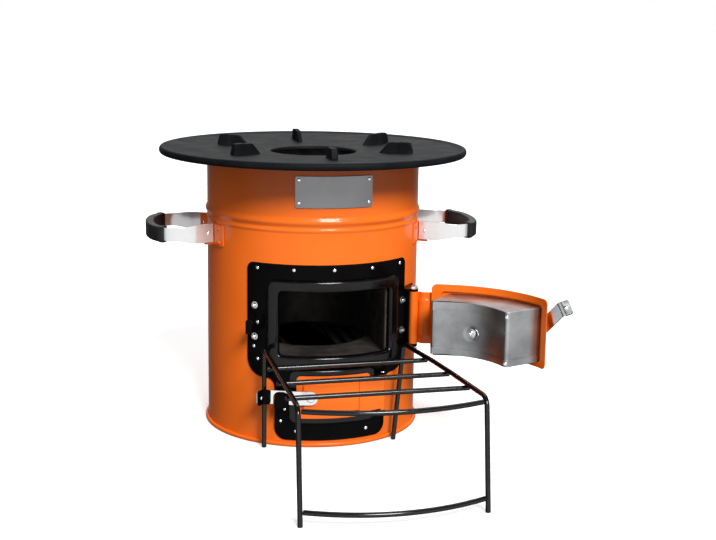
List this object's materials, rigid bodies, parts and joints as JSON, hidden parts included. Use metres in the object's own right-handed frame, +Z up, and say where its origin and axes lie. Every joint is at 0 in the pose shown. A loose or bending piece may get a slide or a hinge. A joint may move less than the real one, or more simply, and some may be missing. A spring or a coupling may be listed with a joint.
{
  "type": "rocket stove",
  "caption": "Insulated steel drum stove with a side fuel door, an ash door below it, a round cast-iron top with pot supports, side handles and a loose fuel rack.",
  "frame": {"origin": "middle of the flat underside of the base pan, on the drum's axis", "axes": "+Z up along the drum; -Y is the front with both doors; +X is the right-hand side of the stove as seen from the front"},
  "size_m": [0.4526, 0.5744, 0.353],
  "materials": {
    "orange_paint": "glossy enamel",
    "black_paint": "glossy black powder coat",
    "cast_iron": "seasoned, slightly rough",
    "bright_steel": "bright zinc or chrome plated",
    "brushed_steel": "brushed stainless",
    "grey_steel": "heat-darkened steel",
    "grip_plastic": "black heat-proof plastic",
    "insulation": "mineral insulation"
  },
  "bodies": {
    "stove_body": {"drum_shell": "orange_paint", "base_pan": "orange_paint", "insulation_fill": "insulation", "combustion_chamber": "grey_steel", "riser_tube": "grey_steel", "feed_tunnel": "grey_steel", "ash_tunnel": "grey_steel", "ash_floor": "grey_steel", "fire_grate": "cast_iron", "top_cover_ring": "grey_steel", "door_frame": "black_paint", "upper_collar": "black_paint", "lower_collar": "black_paint", "name_plate": "brushed_steel", "frame_nut_left_upper": "bright_steel", "frame_nut_left_lower": "bright_steel", "frame_nut_right_upper": "bright_steel", "frame_nut_right_lower": "bright_steel", "upper_hinge_bracket": "black_paint", "upper_hinge_rod": "bright_steel", "hinge_rod_nut_top": "bright_steel", "hinge_rod_nut_bottom": "bright_steel", "upper_latch_keeper": "black_paint", "lower_latch_keeper": "black_paint", "lower_hinge_bracket": "black_paint", "lower_hinge_pin": "bright_steel", "left_handle_strap": "bright_steel", "left_handle_grip": "grip_plastic", "left_handle_bracket_front": "orange_paint", "left_handle_bracket_rear": "orange_paint", "right_handle_strap": "bright_steel", "right_handle_grip": "grip_plastic", "right_handle_bracket_front": "orange_paint", "right_handle_bracket_rear": "orange_paint"},
    "top_plate": {"cast_iron_top": "cast_iron"},
    "fuel_door": {"upper_door_panel": "orange_paint", "upper_door_box": "brushed_steel", "upper_hinge_arm": "orange_paint", "box_bolt": "bright_steel"},
    "fuel_door_latch": {"upper_latch_strap": "bright_steel", "upper_latch_pivot": "bright_steel", "upper_latch_grip": "black_paint"},
    "ash_door": {"lower_door_panel": "orange_paint", "lower_hinge_leaf": "orange_paint"},
    "ash_door_latch": {"lower_latch_strap": "bright_steel", "lower_latch_pivot": "bright_steel", "lower_latch_grip": "black_paint"},
    "fuel_rack": {"rack_left_frame": "black_paint", "rack_right_frame": "black_paint", "rack_cross_bar_1": "black_paint", "rack_cross_bar_2": "black_paint", "rack_cross_bar_3": "black_paint", "rack_front_bar": "black_paint", "rack_lower_bar": "black_paint"}
  },
  "joints": [
    {"name": "top_plate_lift", "type": "slide", "parent": "stove_body", "child": "top_plate", "axis": [0, 0, 1], "range_m": [0, 0.06]},
    {"name": "upper_door_hinge", "type": "hinge", "parent": "stove_body", "child": "fuel_door", "pos_m": [0.103, -0.1059, 0.1475], "axis": [0, 0, 1], "range_deg": [-131, 0]},
    {"name": "upper_latch_pivot", "type": "hinge", "parent": "fuel_door", "child": "fuel_door_latch", "pos_m": [0.22518, -0.2012, 0.1503], "axis": [0.933, 0.36, 0], "range_deg": [-3, 37.2]},
    {"name": "lower_door_hinge", "type": "hinge", "parent": "stove_body", "child": "ash_door", "pos_m": [0.0602, -0.1284, 0.063], "axis": [0, 0, 1], "range_deg": [0, 95]},
    {"name": "lower_latch_pivot", "type": "hinge", "parent": "ash_door", "child": "ash_door_latch", "pos_m": [-0.02867, -0.14091, 0.064], "axis": [-0.1994, -0.9799, 0], "range_deg": [-40, 0]},
    {"name": "rack_swing_aside", "type": "hinge", "parent": "stove_body", "child": "fuel_rack", "pos_m": [-0.0796, -0.118, 0], "axis": [0, 0, 1], "range_deg": [-118, 0]}
  ],
  "couplings": [
    {"joint": "rack_swing_aside", "follows": "upper_door_hinge", "ratio": 0.9}
  ]
}
